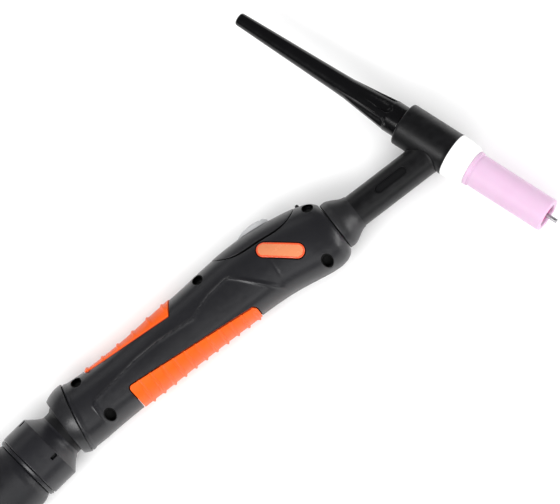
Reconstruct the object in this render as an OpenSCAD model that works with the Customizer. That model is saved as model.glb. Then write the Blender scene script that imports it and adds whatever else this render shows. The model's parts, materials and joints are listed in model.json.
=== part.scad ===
// TIG welding torch with a ball-jointed cable outlet, lying on its side.
// The design frame has its origin where the handle axis meets the handle's
// front face: +X runs forward to the head, +Y to the trigger, +Z to the
// torch's right-hand side. place() moves it so that the torch rests on z = 0.

/* [Handle] */
// Length of the handle, front face to the socket's mouth
handle_len = 176.5; // [174:0.5:179]
// Greatest width across the two shells
handle_w = 36; // [35:0.5:37]
// Thickness of the shells
wall = 2.2; // [2:0.1:2.4]
// Diameter of the screw recesses
recess_d = 5.6; // [5.2:0.1:7]

/* [Head] */
// Angle between the neck and the nozzle
head_angle = 71; // [65:1:90]
// Distance from the handle's front face to the head axis
head_ahead = 69.7; // [62:0.1:80]
// Outer diameter of the neck
neck_d = 18.4; // [17:0.1:18.6]
// Outer diameter of the head moulding
head_d = 24; // [23:0.2:25]
// Outer diameter of the ceramic nozzle
nozzle_d = 18.4; // [18:0.1:19]
// How far the nozzle's tip is from the neck axis
nozzle_tip = 68.6; // [60:0.2:70]
// Diameter of the tungsten electrode
electrode_d = 2.4; // [1.6:0.4:2.4]
// Length of the electrode
electrode_len = 175; // [165:1:175]
// How far the electrode stands out of the nozzle
stick_out = 5.5; // [3:0.1:8]
// How far the back cap's end is from the neck axis
cap_end = 129.5; // [120:0.5:135]

/* [Trigger] */
// Length of the push button
button_len = 19.4; // [17:0.2:20]
// Width of the push button
button_w = 11; // [10:0.5:12]
// Travel of the push button
button_travel = 1.6; // [1:0.1:1.6]

/* [Cable outlet] */
// Radius of the ball
ball_r = 16.2; // [16:0.1:16.3]
// Angle of the outlet to the handle axis as it lies
rest_tilt = 7.5; // [0:0.5:12]
// Outer diameter of the collar
collar_d = 38.7; // [37:0.1:39]
// Diameter of the cable inlet
inlet_d = 25; // [23:0.5:26]
// Length of the rear sleeve
sleeve_len = 31.2; // [20:0.2:40]

/* [Hidden] */
$fn = 72;

// Clearances: a running fit, and the visible gap around a panel
run = 0.05;
gap = 0.25;

// Handle outline, front to rear: place along the axis, top, bottom, half width,
// and the exponent of the rounded section (2 is an ellipse)
half_w = handle_w / 2;
rear_y = 2.5;
shell_rear = 13.5 - handle_len;
shell_rear_r = 18;
OUTLINE = [
    [0, 14.3, -14.3, half_w - 4.8, 2],
    [-1.2, 16.0, -15.9, half_w - 3.6, 2],
    [-4, 18.2, -17.7, half_w - 2.1, 2.05],
    [-8, 20.0, -18.7, half_w - 1.0, 2.1],
    [-14, 21.6, -18.5, half_w - 0.2, 2.15],
    [-24, 23.5, -16.8, half_w, 2.2],
    [-36, 25.0, -14.8, half_w, 2.25],
    [-50, 25.7, -13.8, half_w - 0.2, 2.25],
    [-66, 24.9, -13.6, half_w - 0.5, 2.25],
    [-84, 23.1, -13.5, half_w - 0.7, 2.2],
    [-104, 21.6, -13.6, half_w - 0.9, 2.2],
    [-122, 20.0, -13.9, half_w - 1.0, 2.2],
    [-142, 19.4, -14.3, half_w - 0.9, 2.1],
    [-154, 19.9, -14.9, half_w - 0.4, 2],
    [shell_rear, rear_y + shell_rear_r, rear_y - shell_rear_r, shell_rear_r, 2]];

// Ball joint: centre of the ball, and the socket band around it
ball_x = 9 - handle_len;
band_r = 19.6;
band_slant = 11.3;
seat_r = ball_r + 0.9;
seat_front = -4;
seat_rear = 2;
band_front = -4.5;
ball_neck_r = 12.8;
ball_bore_r = 9.5;
cone_start = 13.4;
crease_a = 21.7;
lug_x = crease_a + 2.2;
lug_turn = 29.5;
collar_rear = 36.8;
ring_w = 2;
joint_gap = 0.3;
sleeve_front = collar_rear + ring_w + 2 * joint_gap;
sleeve_rear = sleeve_front + sleeve_len;
sleeve_r = collar_d / 2 - 0.15;

// Screws: place in the side view, and the recess floor above the parting plane
SCREWS = [[-157.6, 15.5], [-153.3, -9.5], [-74.4, 19.6], [-5.6, 14.8], [-14, -14.3]];
boss_r = recess_d / 2 + 0.45;
recess_z = 2.5;
screw_r = 1.3;

// Windows of the two grips in the side view, and of the badge
UPPER_WINDOW = [[-151, 40], [-151, 17.2], [-98, 12.8], [-91.5, 24], [-91.5, 40]];
LOWER_WINDOW = [[-137.4, -4.4], [-134.3, -40], [-57.6, -40], [-58.2, -10.2]];
grip_corner_r = 2.4;
grip_proud = 0.4;
rib_h = 0.8;
upper_rib_pitch = 10.3;
lower_rib_pitch = 7;
badge_x = -30.4;
badge_y = 3.9;
badge_len = 26;
badge_w = 8.2;
badge_turn = -40;
badge_floor = 16.5;

// Trigger module
module_x = -37;
module_len = 51;
module_w = 32.2;
module_floor = 14;
module_e = 0.57;
button_x = -35.5;
button_top = 28.2;
plate_y = 21.3;
flange_h = 1;
floor_y = 9.5;
floor_h = 1.5;
switch_x = -30.5;
switch_len = 12.8;
switch_w = 5.8;
switch_h = 6.5;
plunger_x = -32.5;
plunger_r = 1;
plunger_y = 15;
spring_x = -41.5;
spring_r = 2.6;
spring_wire = 0.5;
spring_turns = 5;
latch_x = -9.2;

// Head, by distance from the neck axis: negative is towards the back cap
neck_r = neck_d / 2;
head_r = head_d / 2;
head_back = -23.5;
head_front = 7.8;
insulator_front = 20.5;
core_r = 8.4;
core_back = -18;
thread_r = 5.2;
thread_end = -7.5;
body_r = 4.7;
collet_r = 2.25;
nozzle_bore_r = 6.35;
tube_r = 4.5;
tube_rear = -22;
electrode_r = electrode_d / 2;
electrode_tip = nozzle_tip + stick_out;
cap_base = head_back - 0.2;

// Extents, which set the place of the torch on the bench
lift = band_r;
x_low = ball_x - sleeve_rear * cos(rest_tilt) - sleeve_r * sin(rest_tilt);
x_high = head_ahead + nozzle_tip * cos(head_angle) + (nozzle_d / 2 - 0.6) * sin(head_angle);
y_low = -electrode_tip * sin(head_angle) - electrode_r * cos(head_angle);
y_high = cap_end * sin(head_angle);

// ---- placing ----

module place() translate([-(x_low + x_high) / 2, -(y_low + y_high) / 2, lift]) children();

// The head's own frame: +X runs along the head axis to the nozzle's tip
module at_head() translate([head_ahead, 0, 0]) rotate([0, 0, -head_angle]) children();

// The outlet's own frame: +X runs rearwards from the ball's centre
module at_ball(tilt) translate([ball_x, rear_y, 0]) rotate([0, 0, 180 + tilt]) children();

// ---- turned shapes, all along +X ----

module rod(x0, x1, r) translate([x0, 0, 0]) rotate([0, 90, 0]) cylinder(h = x1 - x0, r = r);

module cone(x0, x1, r0, r1)
    translate([x0, 0, 0]) rotate([0, 90, 0]) cylinder(h = x1 - x0, r1 = r0, r2 = r1);

// A turned solid from an outline of [place along X, radius]
module lathe(outline)
    rotate([0, 90, 0]) rotate_extrude() polygon([for (p = outline) [p[1], p[0]]]);

// Points of an arc in an outline: centre, radius, and its two angles
function arc(cx, cr, r, from, to, steps = 6) =
    [for (i = [0:steps]) let (a = from + (to - from) * i / steps) [cx + r * cos(a), cr + r * sin(a)]];

// ---- the handle's skin ----

function slope(i, k) =
    let (a = max(i - 1, 0), b = min(i + 1, len(OUTLINE) - 1))
    (OUTLINE[b][k] - OUTLINE[a][k]) / (OUTLINE[b][0] - OUTLINE[a][0]);

function span(x, i = 0) =
    i >= len(OUTLINE) - 2 || x >= OUTLINE[i + 1][0] ? i : span(x, i + 1);

// A column of OUTLINE at any place x, on a smooth curve through its rows
function column(x, k) =
    let (i = span(x),
         p = OUTLINE[i],
         q = OUTLINE[i + 1],
         d = q[0] - p[0],
         t = (x - p[0]) / d)
    p[k] * (1 + 2 * t) * pow(1 - t, 2) + slope(i, k) * d * t * pow(1 - t, 2)
    + q[k] * t * t * (3 - 2 * t) + slope(i + 1, k) * d * t * t * (t - 1);

function rounded(v, e) = sign(v) * pow(abs(v), e);

// A point of the skin at x and angle a, moved outwards by proud
function skin(x, a, proud) =
    let (top = column(x, 1),
         bottom = column(x, 2),
         e = 2 / column(x, 4))
    [x, (top + bottom) / 2 + ((top - bottom) / 2 + proud) * rounded(sin(a), e),
     (column(x, 3) + proud) * rounded(cos(a), e)];

// Height of the skin above the parting plane at a place in the side view
function skin_z(x, y) =
    let (top = column(x, 1),
         bottom = column(x, 2),
         n = column(x, 4),
         part = abs(2 * y - top - bottom) / (top - bottom))
    column(x, 3) * pow(max(0, 1 - pow(part, n)), 1 / n);

// Top of a screw boss: just under the skin at the boss's outer side
function boss_top(p) = skin_z(p[0], p[1] + sign(p[1]) * boss_r) - 0.3;

// Place of a screw's tip, inside the left shell's boss
function screw_end(p) = 1 - min(9, boss_top(p));

// A curved wall under the skin, between two angles. rings holds [x, proud].
module arch(rings, depth, from, to, steps) {
    m = 2 * (steps + 1);
    last = len(rings) - 1;
    turn = (to - from) / steps;
    points = [for (r = rings) each concat(
        [for (i = [0:steps]) skin(r[0], from + turn * i, r[1])],
        [for (i = [steps:-1:0]) skin(r[0], from + turn * i, -depth)])];
    front = [for (j = [0:steps - 1]) [j, j + 1, m - 2 - j, m - 1 - j]];
    rear = [for (q = front) [for (k = [3:-1:0]) last * m + q[k]]];
    sides = [for (i = [0:last - 1]) for (j = [0:m - 1])
        let (a = i * m + j,
             b = i * m + (j + 1) % m)
        each [[a, b + m, b], [a, a + m, b + m]]];
    polyhedron(points = points, faces = concat(front, rear, sides));
}

// Rings of a ribbed grip between two places, with a rib at every pitch
function ribbed(front, rear, pitch) =
    concat([[front, grip_proud]],
        [for (x = [front - pitch / 2:-pitch:rear + 1]) each
            [[x + 1.3, grip_proud], [x + 0.6, grip_proud + rib_h],
             [x - 0.6, grip_proud + rib_h], [x - 1.3, grip_proud]]],
        [[rear, grip_proud]]);

shell_rings = [for (x = [0, -0.5, -1.2, -2.4, -4, -6, -8, -11, each [-15:-5.5:shell_rear + 2], shell_rear])
    [x, 0]];

// ---- windows and bosses ----

module upper_window(grow) translate([0, 0, -30]) linear_extrude(height = 60) polygon([
    UPPER_WINDOW[0] - [grow, 0], UPPER_WINDOW[1] - [grow, grow],
    UPPER_WINDOW[2] + [grow / 2, -grow], UPPER_WINDOW[3] + [grow, 0], UPPER_WINDOW[4] + [grow, 0]]);

module lower_window(grow) translate([0, 0, -30]) linear_extrude(height = 60) hull() {
    for (p = [LOWER_WINDOW[0] + [1, -1] * grip_corner_r, LOWER_WINDOW[3] + [-1, -1] * grip_corner_r])
        translate(p) circle(r = grip_corner_r + grow, $fn = 24);
    for (p = [LOWER_WINDOW[1], LOWER_WINDOW[2]])
        translate(p) square(2 * grow + 0.1, center = true);
}

module stadium(length, width) {
    square([length - width, width], center = true);
    for (side = [-1, 1]) translate([side * (length - width) / 2, 0]) circle(d = width);
}

module badge_prism(grow) translate([badge_x, badge_y, badge_floor]) rotate([0, 0, badge_turn])
    linear_extrude(height = 6) stadium(badge_len + 2 * grow, badge_w + 2 * grow);

// The trigger module's outline from above: a rounded oval
module module_prism(grow) translate([module_x, 0, 0]) upright(module_floor - grow, 32)
    polygon([for (a = [0:7.5:352.5])
        [(module_len / 2 + grow) * rounded(cos(a), module_e),
         (module_w / 2 + grow) * rounded(sin(a), module_e)]]);

// An outline seen from above, raised along +Y
module upright(y0, y1) translate([0, y1, 0]) rotate([90, 0, 0]) linear_extrude(height = y1 - y0) children();

// A round pin or hole across the handle, along +Z
module across(p, z0, z1, r) translate([p[0], p[1], z0]) cylinder(h = z1 - z0, r = r);

// One half of the handle, with z = 0 as the parting plane
module shell_half() difference() {
    arch(shell_rings, wall, -90, 90, 16);
    upper_window(gap);
    lower_window(gap);
    module_prism(gap);
    translate([-12.9, 12, -2.4]) cube([5.5, 12, 4.8]);
}

// ---- the handle ----

module right_shell() color("dimgray") place() difference() {
    union() {
        shell_half();
        for (p = SCREWS) across(p, 0, boss_top(p), boss_r);
    }
    for (p = SCREWS) {
        across(p, recess_z, 30, recess_d / 2);
        across(p, -1, recess_z + 1, screw_r + 0.3);
    }
    badge_prism(gap);
}

module left_shell() color("dimgray") place() difference() {
    union() {
        mirror([0, 0, 1]) shell_half();
        for (p = SCREWS) across(p, -boss_top(p), 0, boss_r);
    }
    for (p = SCREWS) across(p, screw_end(p) - 0.3, 1, screw_r + run);
}

module upper_grip() color([1, 0.43, 0.16]) place() intersection() {
    arch(ribbed(-88, -153, upper_rib_pitch), wall, 5, 175, 14);
    upper_window(0);
}

module lower_grip() color([1, 0.43, 0.16]) place() intersection() {
    arch(ribbed(-56, -139, lower_rib_pitch), wall, -185, 5, 16);
    lower_window(0);
}

module badge() color([1, 0.43, 0.16]) place() intersection() {
    arch([for (x = [-15:-4:-47]) [x, 0.35]], 4, -40, 60, 14);
    badge_prism(0);
}

module shell_screws() color([0.25, 0.25, 0.27]) place() for (p = SCREWS) difference() {
    union() {
        across(p, screw_end(p), recess_z + 0.5, screw_r);
        across(p, recess_z, recess_z + 2, recess_d / 2 - 0.35);
    }
    for (turn = [0, 90]) translate([p[0], p[1], recess_z + 1.6]) rotate([0, 0, turn])
        cube([3, 0.7, 2], center = true);
}

module front_adapter() color([0.16, 0.16, 0.17]) place() difference() {
    lathe(concat([[-14, 0], [-14, 10.4], [0.05, 10.4], [0.05, 13.3]],
        arc(0.65, 13.1, 0.6, 180, 90, 3), [[4.6, 13.7]], arc(4.6, 12.7, 1, 90, 40, 3),
        arc(13.6, 17.2, 7.4, 218, 262, 6), [[13.6, 0]]));
    rod(-15, 14, neck_r + run);
}

// ---- the torch body ----

module torch_body_mould() color([0.12, 0.12, 0.13]) place() difference() {
    union() {
        rod(-13.9, head_ahead - 4, neck_r);
        at_head() lathe(concat([[head_back, 0], [head_back, 8.5]],
            arc(head_back + 2.6, head_r - 2.6, 2.6, 180, 90, 6), [[head_front, head_r], [head_front, 0]]));
    }
    at_head() {
        rod(core_back, head_front + 1, core_r + run);
        rod(head_back - 1, core_back + 1, 8);
    }
    rod(-15, head_ahead - 6, tube_r + run);
    for (side = [0, 1]) mirror([0, 0, side]) {
        for (x = [30, 46]) across([x, 0], neck_r - 1.3, neck_r + 2, 2);
        translate([30, -2, neck_r - 1.3]) cube([16, 4, 4]);
    }
}

module head_core() color([0.75, 0.6, 0.25]) place() difference() {
    at_head() difference() {
        rod(core_back, head_front, core_r);
        rod(core_back - 1, thread_end, thread_r);
        rod(thread_end - 1, 0, 3.4);
        rod(-3, head_front + 1, body_r);
    }
    rod(0, head_ahead - 6, tube_r + run);
    rod(0, head_ahead - 3, 2.6);
}

module neck_tube() color([0.72, 0.42, 0.25]) place() difference() {
    rod(tube_rear, head_ahead - 6.1, tube_r);
    rod(tube_rear - 1, head_ahead, 3);
}

module tail_fitting() color([0.75, 0.6, 0.25]) place() difference() {
    union() {
        rod(-24, -16, 6.5);
        translate([-30, 0, 0]) rotate([0, 90, 0]) cylinder(h = 6, r = 8, $fn = 6);
        for (x = [-42:4:-31]) cone(x, x + 4.1, 4, 5.2);
    }
    rod(-43, -15, 2.6);
    rod(tube_rear - 0.1, -15, tube_r + run);
}

module insulator() color([0.96, 0.96, 0.95]) place() at_head() difference() {
    lathe(concat([[head_front + 0.05, 0], [head_front + 0.05, 12.15]], [[head_front + 6, 11.9]],
        arc(insulator_front - 2, 9.3, 2, 70, 0, 5), [[insulator_front, 0]]));
    rod(head_front - 1, insulator_front + 1, 6.5);
}

module collet_body() color([0.72, 0.42, 0.25]) place() at_head() difference() {
    union() {
        rod(-2.9, head_front + 0.2, body_r - run);
        rod(head_front + 0.1, insulator_front, 6.4);
        rod(insulator_front - 0.1, 32, nozzle_bore_r - run);
        rod(31, 43, 4);
        cone(43, 46, 4, 2.6);
    }
    rod(-4, 43.2, collet_r + run);
    cone(43.1, 44.4, collet_r + run, electrode_r + 0.15);
    rod(44, 47, electrode_r + 0.15);
    for (turn = [0:90:270]) rotate([turn, 0, 0])
        translate([36, 0, 3]) cylinder(h = 4, r = 0.9, center = true);
}

module collet() color([0.8, 0.5, 0.3]) place() at_head() difference() {
    union() {
        rod(-6.9, 43, collet_r);
        rod(-6.9, -3.1, 3.2);
    }
    rod(-8, 44, electrode_r + run);
    translate([30, -0.2, -4]) cube([14, 0.4, 8]);
}

module ceramic_nozzle() color([0.96, 0.84, 0.93]) place() at_head() difference() {
    r = nozzle_d / 2;
    start = insulator_front + 0.1;
    lathe(concat([[start, 0], [start, r + 0.2]], [[start + 0.5, r + 0.6], [start + 2.2, r + 0.6]],
        [[start + 3.2, r]], arc(nozzle_tip - 1.2, r - 1.2, 1.2, 90, 0, 5), [[nozzle_tip, 0]]));
    rod(start - 1, nozzle_tip + 1, nozzle_bore_r);
}

module electrode() color([0.55, 0.56, 0.58]) place() at_head()
    rod(electrode_tip - electrode_len, electrode_tip, electrode_r);

// ---- the back cap ----

module back_cap() color([0.07, 0.07, 0.08]) place() at_head() difference() {
    lathe(concat([[thread_end - 0.2, 0], [thread_end - 0.2, thread_r - run], [core_back - 1, thread_r - run],
        [core_back - 1, 5.6], [cap_base, 5.6], [cap_base, 8.4]], [[cap_base - 0.4, 8.85], [-31, 8.85]],
        [[-37, 6.6], [-68, 5.35]], arc(3 - cap_end, 0.6, 3, 90, 180, 6), [[-cap_end, 0]]));
    rod(electrode_tip - electrode_len - 11, -19, electrode_r + 0.6);
    rod(-20, 0, 2.7);
    for (turn = [0:60:300]) rotate([turn, 0, 0]) flute();
}

// A finger flute: a long round groove that fades out towards the cap's tip
module flute() translate([-34, 0, 9.6]) rotate([0, -92.9, 0]) {
    cylinder(h = 44, r = 3.2);
    sphere(r = 3.2);
}

module cap_o_ring() color([0.05, 0.05, 0.05]) place() at_head()
    translate([-20.9, 0, 0]) rotate([0, 90, 0]) rotate_extrude() translate([6.65, 0]) circle(r = 1);

// ---- the trigger module ----

module button_outline(grow) stadium(button_len + 2 * grow, button_w + 2 * grow);

module trigger_housing() color([0.14, 0.14, 0.15]) place() difference() {
    union() {
        intersection() {
            arch([for (x = [-9:-3.5:-65]) [x, 0.1]], wall, 15, 165, 22);
            module_prism(0);
        }
        translate([button_x - 13, plate_y, -7.8]) cube([26, 1.6, 15.6]);
        translate([-47, floor_y, -5.4]) cube([26, floor_h, 10.8]);
        for (side = [0, 1]) mirror([0, 0, side])
            translate([-47, floor_y, 4.2]) cube([26, plate_y - floor_y - 3, 1.2]);
        for (x = [-48.5, -21.5]) translate([x, floor_y, -5.4]) cube([1.5, plate_y - floor_y + 1, 10.8]);
    }
    translate([button_x, 0, 0]) upright(plate_y - 1, 40) button_outline(0.2);
    translate([-22, 11.4, -2]) cube([3, 5.6, 4]);
}

module trigger_button() color([0.76, 0.77, 0.78]) place() union() {
    intersection() {
        translate([button_x, 0, 0]) upright(plate_y - 0.5, 32) button_outline(0);
        translate([button_x, button_top - 26, -10]) cylinder(h = 20, r = 26);
        translate([-60, button_top - 14.5, 0]) rotate([0, 90, 0]) cylinder(h = 50, r = 14.5);
    }
    translate([button_x, 0, 0]) upright(plate_y - 0.1 - flange_h, plate_y - 0.1) stadium(button_len + 2.4, 8);
}

module trigger_spring() color([0.7, 0.71, 0.73]) place() {
    y0 = floor_y + floor_h + 0.05;
    rise = plate_y - 0.1 - flange_h - 0.05 - y0 - 2 * spring_wire;
    n = spring_turns * 16;
    points = [for (i = [0:n]) for (k = [0:7])
        let (a = 360 * spring_turns * i / n,
             r = spring_r - spring_wire + spring_wire * cos(45 * k))
        [spring_x + r * cos(a), y0 + spring_wire + rise * i / n + spring_wire * sin(45 * k), r * sin(a)]];
    faces = concat([[for (k = [0:7]) k], [for (k = [7:-1:0]) 8 * n + k]],
        [for (i = [0:n - 1]) for (k = [0:7])
            let (a = 8 * i + k,
                 b = 8 * i + (k + 1) % 8)
            each [[a, a + 8, b + 8], [a, b + 8, b]]]);
    polyhedron(points = points, faces = faces);
}

module microswitch_body() color([0.1, 0.1, 0.1]) place() difference() {
    translate([switch_x - switch_len / 2, floor_y + floor_h + 0.05, -switch_w / 2])
        cube([switch_len, switch_h, switch_w]);
    translate([plunger_x, 0, 0]) upright(plunger_y - button_travel - 0.4, 30) circle(r = plunger_r + run);
    for (x = [-28.5, -26]) across([x, 13], -5, 5, 0.9);
}

module microswitch_plunger() color([0.75, 0.2, 0.15]) place() translate([plunger_x, 0, 0])
    upright(plunger_y, plate_y - 0.15 - flange_h) circle(r = plunger_r);

module switch_terminals() color([0.8, 0.8, 0.78]) place() for (y = [12.2, 14.2, 16.2])
    translate([switch_x + switch_len / 2, y - 0.25, -1.4]) cube([5, 0.5, 2.8]);

module module_latch() color([0.14, 0.14, 0.15]) place() union() {
    translate([-13, 18, -1.8]) cube([5, 0.7, 3.6]);
    translate([latch_x, 18.3, 0]) rotate([-90, 0, 0]) cylinder(h = 2.9, r = 1.1);
    translate([latch_x, 21.2, 0]) sphere(r = 1.1);
}

// ---- the ball-jointed cable outlet ----

// The socket at the handle's rear: a ring with a bulge whose front edge slants
module socket_band() color("dimgray") place() difference() {
    at_ball(0) union() {
        rod(band_front, 5.5, shell_rear_r);
        intersection() {
            lathe([[-6, 12], [-6, band_r - 0.4], [-4, band_r], [-1, band_r], [1, band_r - 0.1],
                [3, 19.15], [5, 18.6], [7, 17.8], [9, 16.8], [9, 12]]);
            rotate([0, 0, -band_slant]) translate([0.9, -30, -30]) cube([30, 60, 60]);
        }
    }
    at_ball(0) lathe(concat([[band_front - 1, 0], [band_front - 1, seat_r + run],
        [seat_rear + 0.1, seat_r + run]],
        arc(0, 0, ball_r + joint_gap, 82, 67), [[9.3, 16.2], [9.3, 0]]));
}

module seat_ring() color([0.3, 0.3, 0.32]) place() at_ball(0) difference() {
    rod(seat_front, seat_rear, seat_r);
    rod(seat_front - 1, seat_rear + 1, ball_r + run);
}

module knuckle_ball() color([0.13, 0.13, 0.14]) place() at_ball(rest_tilt) difference() {
    union() {
        intersection() {
            sphere(r = ball_r, $fn = 96);
            rod(-3, 12, ball_r + 1);
        }
        rod(9, cone_start, ball_neck_r);
        rod(cone_start - 0.1, 32, ball_neck_r - 0.6);
        for (turn = [0:90:270]) rotate([turn - lug_turn, 0, 0]) translate([lug_x, 0, 14.4])
            cube([3.2, 1.5, 7.6], center = true);
    }
    rod(-1, 33, ball_bore_r);
    cone(-3.1, 2, 13.2, ball_bore_r);
}

module collar_cone() color([0.3, 0.3, 0.32]) place() at_ball(rest_tilt) difference() {
    r = collar_d / 2;
    lathe(concat([[cone_start, 0], [cone_start, ball_neck_r]], [[14.4, ball_neck_r + 0.35]],
        [[17, ball_neck_r + 2.3], [crease_a - 0.4, r - 0.5], [crease_a, r]],
        [[collar_rear - 0.4, r], [collar_rear, r - 0.4], [collar_rear, 0]]));
    rod(cone_start - 1, collar_rear + 1, ball_neck_r - 0.6 + run);
    rod(32.2, collar_rear + 1, 15.5);
    for (turn = [0:90:270]) rotate([turn - lug_turn, 0, 0]) translate([lug_x, 0, 15])
        cube([3.8, 2.1, 12], center = true);
}

module sleeve_ring() color([0.2, 0.2, 0.21]) place() at_ball(rest_tilt) difference() {
    lathe([[collar_rear + joint_gap, 0], [collar_rear + joint_gap, sleeve_r - 0.5],
        [collar_rear + joint_gap + 0.5, sleeve_r], [sleeve_front - joint_gap - 0.5, sleeve_r],
        [sleeve_front - joint_gap, sleeve_r - 0.5], [sleeve_front - joint_gap, 0]]);
    rod(30, 45, 15.5);
}

module rear_sleeve() color([0.14, 0.14, 0.15]) place() at_ball(rest_tilt) difference() {
    union() {
        lathe(concat([[sleeve_front, 0]], arc(sleeve_front + 1.6, sleeve_r - 1.6, 1.6, 180, 90),
            arc(sleeve_rear - 2, sleeve_r - 2, 2, 90, 0), [[sleeve_rear, 0]]));
        rod(32.4, sleeve_front + 1, 15.4);
    }
    rod(30, sleeve_rear + 1, inlet_d / 2);
}

right_shell();
left_shell();
upper_grip();
lower_grip();
badge();
shell_screws();
front_adapter();
torch_body_mould();
head_core();
neck_tube();
tail_fitting();
insulator();
collet_body();
collet();
ceramic_nozzle();
electrode();
back_cap();
cap_o_ring();
trigger_housing();
trigger_button();
trigger_spring();
microswitch_body();
microswitch_plunger();
switch_terminals();
module_latch();
socket_band();
seat_ring();
knuckle_ball();
collar_cone();
sleeve_ring();
rear_sleeve();
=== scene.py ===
"""Looks of a TIG welding torch lying on its side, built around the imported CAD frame.

Shapes are given in millimetres in four frames of their own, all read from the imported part: the
handle (origin on its front face, X to the head, Y to the trigger), the head (X along the nozzle),
the socket (X rearwards from the ball's centre) and the outlet (the same, tilted as it lies).
"""
import json
import math

import bmesh
import bpy
import numpy as np
from mathutils import Matrix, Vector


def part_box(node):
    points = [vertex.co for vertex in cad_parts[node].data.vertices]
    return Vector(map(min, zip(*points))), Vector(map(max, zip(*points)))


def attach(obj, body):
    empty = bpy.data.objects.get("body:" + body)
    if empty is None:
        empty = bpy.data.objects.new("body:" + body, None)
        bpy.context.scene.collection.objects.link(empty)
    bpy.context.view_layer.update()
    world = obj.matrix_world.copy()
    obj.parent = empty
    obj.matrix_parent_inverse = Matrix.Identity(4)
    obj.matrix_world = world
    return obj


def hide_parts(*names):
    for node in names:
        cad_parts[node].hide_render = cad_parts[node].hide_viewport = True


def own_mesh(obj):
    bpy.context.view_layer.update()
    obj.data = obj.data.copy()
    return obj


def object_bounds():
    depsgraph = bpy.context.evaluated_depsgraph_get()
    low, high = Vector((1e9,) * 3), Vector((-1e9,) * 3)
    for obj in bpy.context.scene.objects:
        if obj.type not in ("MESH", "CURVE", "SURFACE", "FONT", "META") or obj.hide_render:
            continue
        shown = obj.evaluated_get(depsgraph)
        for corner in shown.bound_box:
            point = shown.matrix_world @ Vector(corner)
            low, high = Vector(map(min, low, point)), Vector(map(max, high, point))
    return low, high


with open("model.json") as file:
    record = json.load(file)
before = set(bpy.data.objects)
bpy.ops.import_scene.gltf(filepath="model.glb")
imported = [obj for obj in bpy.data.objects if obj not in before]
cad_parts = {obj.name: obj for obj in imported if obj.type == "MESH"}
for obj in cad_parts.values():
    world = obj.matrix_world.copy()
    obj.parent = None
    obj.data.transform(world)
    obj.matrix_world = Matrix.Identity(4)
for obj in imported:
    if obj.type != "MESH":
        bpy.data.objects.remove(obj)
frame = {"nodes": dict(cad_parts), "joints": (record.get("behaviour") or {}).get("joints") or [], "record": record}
cad_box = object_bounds()

MM = 0.001
HALF_PI = math.pi / 2


# ---- frames ----

class Axes:
    """A frame of a sub-part: it turns points in millimetres into metres in the row frame."""

    def __init__(self, origin, x):
        self.origin = np.array(origin, float)
        self.x = np.array([x[0], x[1], 0.0]) / math.hypot(x[0], x[1])
        self.y = np.array([-self.x[1], self.x[0], 0.0])
        self.z = np.array([0.0, 0.0, 1.0])

    def __call__(self, p):
        p = np.asarray(p, float)
        return self.origin + MM * (p[..., 0:1] * self.x + p[..., 1:2] * self.y + p[..., 2:3] * self.z)

    def back(self, p):
        """The opposite: points of the row frame in metres, in millimetres of this frame."""
        return (np.asarray(p, float) - self.origin) @ np.stack([self.x, self.y, self.z], 1) / MM


def read_frames():
    mounts = {m["name"]: m for m in frame["record"]["mounts"]}
    joints = {j["name"]: j for j in frame["joints"]}
    lo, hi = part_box("neck_tube")
    neck = (lo + hi) / 2
    handle = Axes((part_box("right_shell")[1].x, neck.y, neck.z), (1, 0))
    nozzle = mounts["nozzle_outside"]
    back = (neck.y - nozzle["pos_m"][1]) / nozzle["axis"][1]
    crossing = np.array(nozzle["pos_m"]) + back * np.array(nozzle["axis"])
    ball = joints["cable_swivel"]["pos_m"]
    outlet = Axes(ball, mounts["cable_inlet"]["axis"])
    return handle, Axes(crossing, nozzle["axis"]), Axes(ball, (-1, 0)), outlet


HANDLE, HEAD, SOCKET, OUTLET = read_frames()
BALL_X = float((SOCKET.origin - HANDLE.origin)[0] / MM)
REAR_Y = float((SOCKET.origin - HANDLE.origin)[1] / MM)
HEAD_AHEAD = float((HEAD.origin - HANDLE.origin)[0] / MM)
FLOOR_Z = float(cad_box[0].z)


# ---- camera, floor and light ----

def make_camera():
    elevation, azimuth, roll = math.radians(77), math.radians(-4.3), math.radians(-33.23)
    back = np.array([math.cos(elevation) * math.sin(azimuth), -math.cos(elevation) * math.cos(azimuth),
                     math.sin(elevation)])
    right = np.cross(-back, (0, 0, 1))
    right /= np.linalg.norm(right)
    up = np.cross(right, -back)
    turned_right = math.cos(roll) * right + math.sin(roll) * up
    turned_up = -math.sin(roll) * right + math.cos(roll) * up
    place = HANDLE((-30.8, 7.3, 0)) + 2.844 * back
    data = bpy.data.cameras.new("camera")
    data.sensor_width = 36
    data.lens = 347.1
    camera = bpy.data.objects.new("camera", data)
    rows = [[turned_right[k], turned_up[k], back[k], place[k]] for k in range(3)] + [[0, 0, 0, 1]]
    camera.matrix_world = Matrix(rows)
    bpy.context.scene.collection.objects.link(camera)
    bpy.context.scene.camera = camera


def area_light(name, place, target, size, power, glossy=True):
    data = bpy.data.lights.new(name, "AREA")
    data.shape = "RECTANGLE"
    data.size, data.size_y = size
    data.energy = power
    light = bpy.data.objects.new(name, data)
    light.visible_glossy = glossy
    direction = np.array(target, float) - np.array(place, float)
    z = -direction / np.linalg.norm(direction)
    x = np.cross((0.0, 0.0, 1.0) if abs(z[2]) < 0.99 else (0.0, 1.0, 0.0), z)
    x /= np.linalg.norm(x)
    y = np.cross(z, x)
    rows = [[x[k], y[k], z[k], place[k]] for k in range(3)] + [[0, 0, 0, 1]]
    light.matrix_world = Matrix(rows)
    bpy.context.scene.collection.objects.link(light)


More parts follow.
